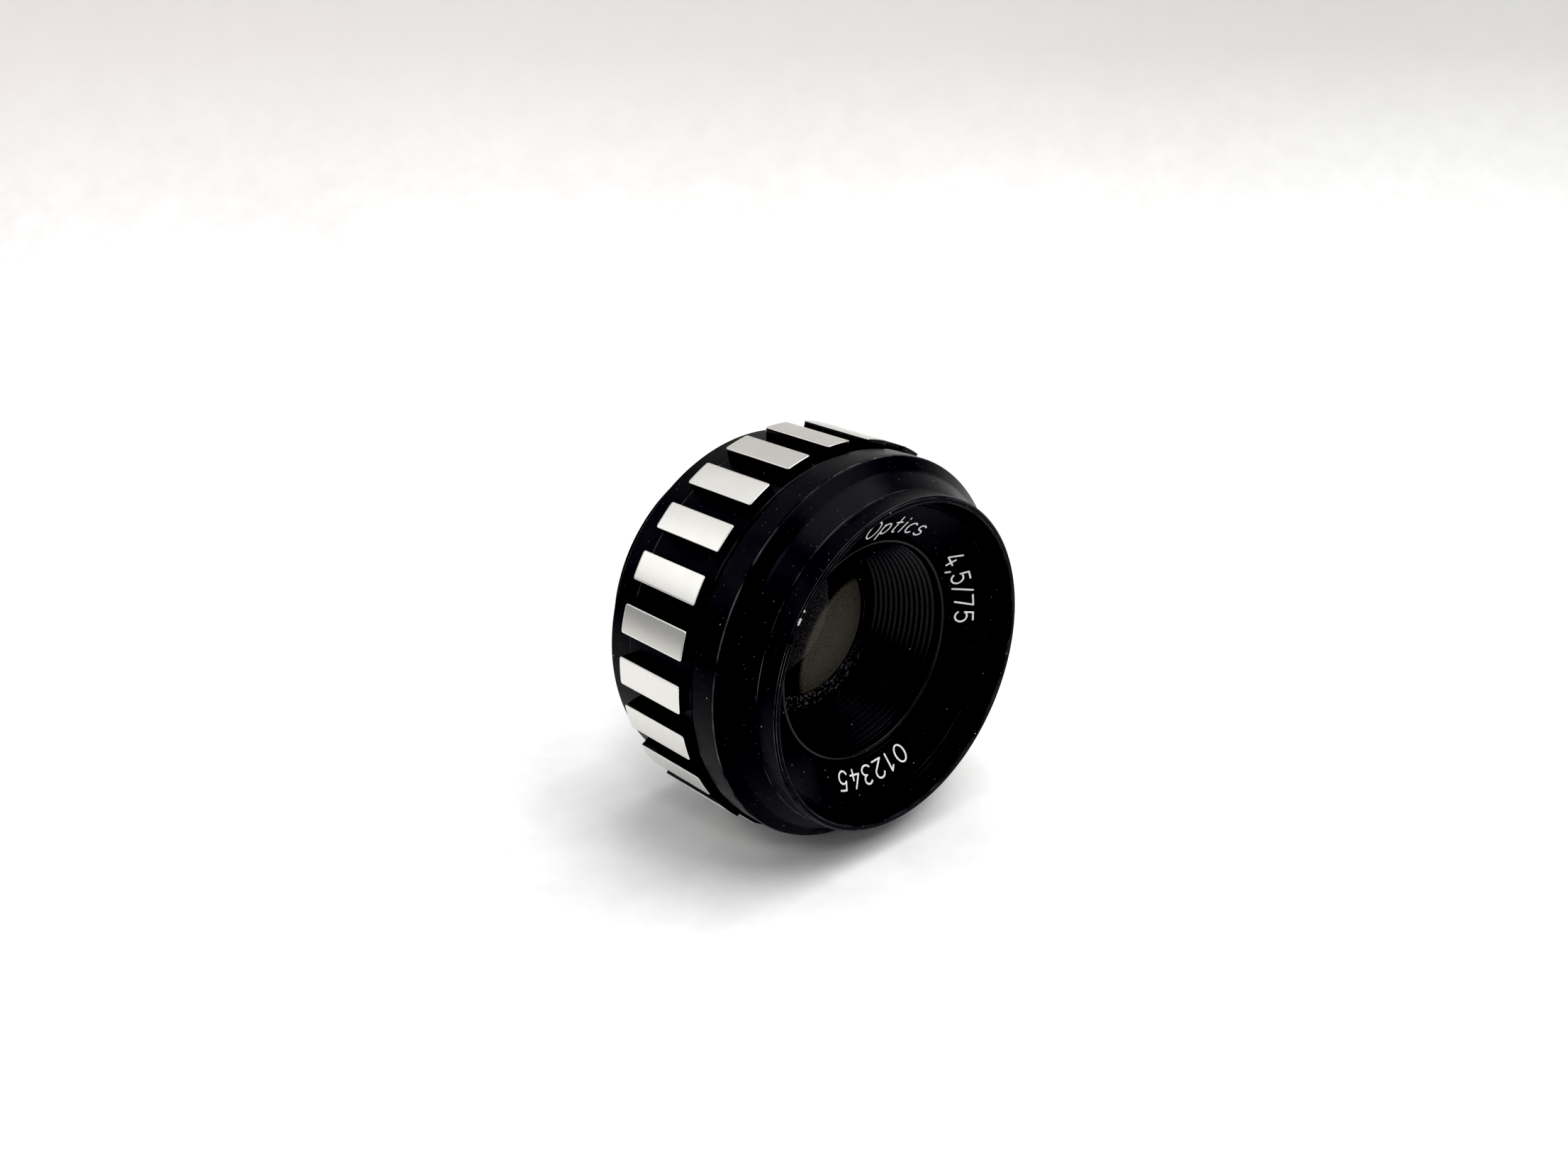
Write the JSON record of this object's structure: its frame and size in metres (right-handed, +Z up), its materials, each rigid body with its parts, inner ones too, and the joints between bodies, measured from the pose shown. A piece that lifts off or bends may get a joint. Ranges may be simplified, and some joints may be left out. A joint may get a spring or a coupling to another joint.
{
  "type": "enlarger lens",
  "caption": "Screw-mount enlarger lens: black barrel, ribbed aperture ring with bright lands, three glass elements and a working iris diaphragm.",
  "frame": {"origin": "centre of the flange seat, where the rear thread meets the flange that bears on the lens board", "axes": "lens axis along Y with the front of the lens facing -Y and the thread pointing to +Y; +Z up as the lens lies on its side on a bench"},
  "size_m": [0.0504, 0.0321, 0.0504],
  "materials": {
    "black_anodised": "black anodised, satin",
    "zebra_ring": "black anodised with bright turned lands",
    "coated_glass": "polished, coated",
    "blackened_brass": "chemically blackened",
    "blued_steel": "blued spring steel, matt",
    "screw_steel": "blackened steel",
    "washer_brass": "rolled sheet"
  },
  "bodies": {
    "barrel": {"rear_barrel": "black_anodised", "front_barrel": "black_anodised", "nameplate_cone": "black_anodised", "nameplate_lock_ring": "black_anodised", "front_baffle": "black_anodised", "front_cell": "black_anodised", "front_clamp_ring": "black_anodised", "lens_spacer": "black_anodised", "rear_cell": "black_anodised", "rear_clamp_ring": "black_anodised", "front_element": "coated_glass", "middle_element": "coated_glass", "rear_element": "coated_glass", "iris_housing": "blackened_brass", "barrel_grub_screw": "screw_steel", "cam_snap_ring": "screw_steel", "friction_washer": "washer_brass"},
    "aperture_ring": {"aperture_ring": "zebra_ring", "cam_ring": "blackened_brass", "actuating_screw": "screw_steel"},
    "iris_blade_1": {"iris_blade_1": "blued_steel"},
    "iris_blade_2": {"iris_blade_2": "blued_steel"},
    "iris_blade_3": {"iris_blade_3": "blued_steel"},
    "iris_blade_4": {"iris_blade_4": "blued_steel"},
    "iris_blade_5": {"iris_blade_5": "blued_steel"},
    "iris_blade_6": {"iris_blade_6": "blued_steel"},
    "iris_blade_7": {"iris_blade_7": "blued_steel"},
    "iris_blade_8": {"iris_blade_8": "blued_steel"}
  },
  "joints": [
    {"name": "aperture_turn", "type": "hinge", "parent": "barrel", "child": "aperture_ring", "pos_m": [0, -0.01, 0], "axis": [0, -1, 0], "range_deg": [0, 48]},
    {"name": "blade_1_swing", "type": "hinge", "parent": "barrel", "child": "iris_blade_1", "pos_m": [0, -0.001, 0.0121], "axis": [0, -1, 0], "range_deg": [0, 27]},
    {"name": "blade_2_swing", "type": "hinge", "parent": "barrel", "child": "iris_blade_2", "pos_m": [-0.00856, -0.001, 0.00856], "axis": [0, -1, 0], "range_deg": [0, 27]},
    {"name": "blade_3_swing", "type": "hinge", "parent": "barrel", "child": "iris_blade_3", "pos_m": [-0.0121, -0.001, 0], "axis": [0, -1, 0], "range_deg": [0, 27]},
    {"name": "blade_4_swing", "type": "hinge", "parent": "barrel", "child": "iris_blade_4", "pos_m": [-0.00856, -0.001, -0.00856], "axis": [0, -1, 0], "range_deg": [0, 27]},
    {"name": "blade_5_swing", "type": "hinge", "parent": "barrel", "child": "iris_blade_5", "pos_m": [0, -0.001, -0.0121], "axis": [0, -1, 0], "range_deg": [0, 27]},
    {"name": "blade_6_swing", "type": "hinge", "parent": "barrel", "child": "iris_blade_6", "pos_m": [0.00856, -0.001, -0.00856], "axis": [0, -1, 0], "range_deg": [0, 27]},
    {"name": "blade_7_swing", "type": "hinge", "parent": "barrel", "child": "iris_blade_7", "pos_m": [0.0121, -0.001, 0], "axis": [0, -1, 0], "range_deg": [0, 27]},
    {"name": "blade_8_swing", "type": "hinge", "parent": "barrel", "child": "iris_blade_8", "pos_m": [0.00856, -0.001, 0.00856], "axis": [0, -1, 0], "range_deg": [0, 27]}
  ],
  "couplings": [
    {"joint": "blade_1_swing", "follows": "aperture_turn", "ratio": 0.55242},
    {"joint": "blade_2_swing", "follows": "aperture_turn", "ratio": 0.55242},
    {"joint": "blade_3_swing", "follows": "aperture_turn", "ratio": 0.55242},
    {"joint": "blade_4_swing", "follows": "aperture_turn", "ratio": 0.55242},
    {"joint": "blade_5_swing", "follows": "aperture_turn", "ratio": 0.55242},
    {"joint": "blade_6_swing", "follows": "aperture_turn", "ratio": 0.55242},
    {"joint": "blade_7_swing", "follows": "aperture_turn", "ratio": 0.55242},
    {"joint": "blade_8_swing", "follows": "aperture_turn", "ratio": 0.55242}
  ]
}
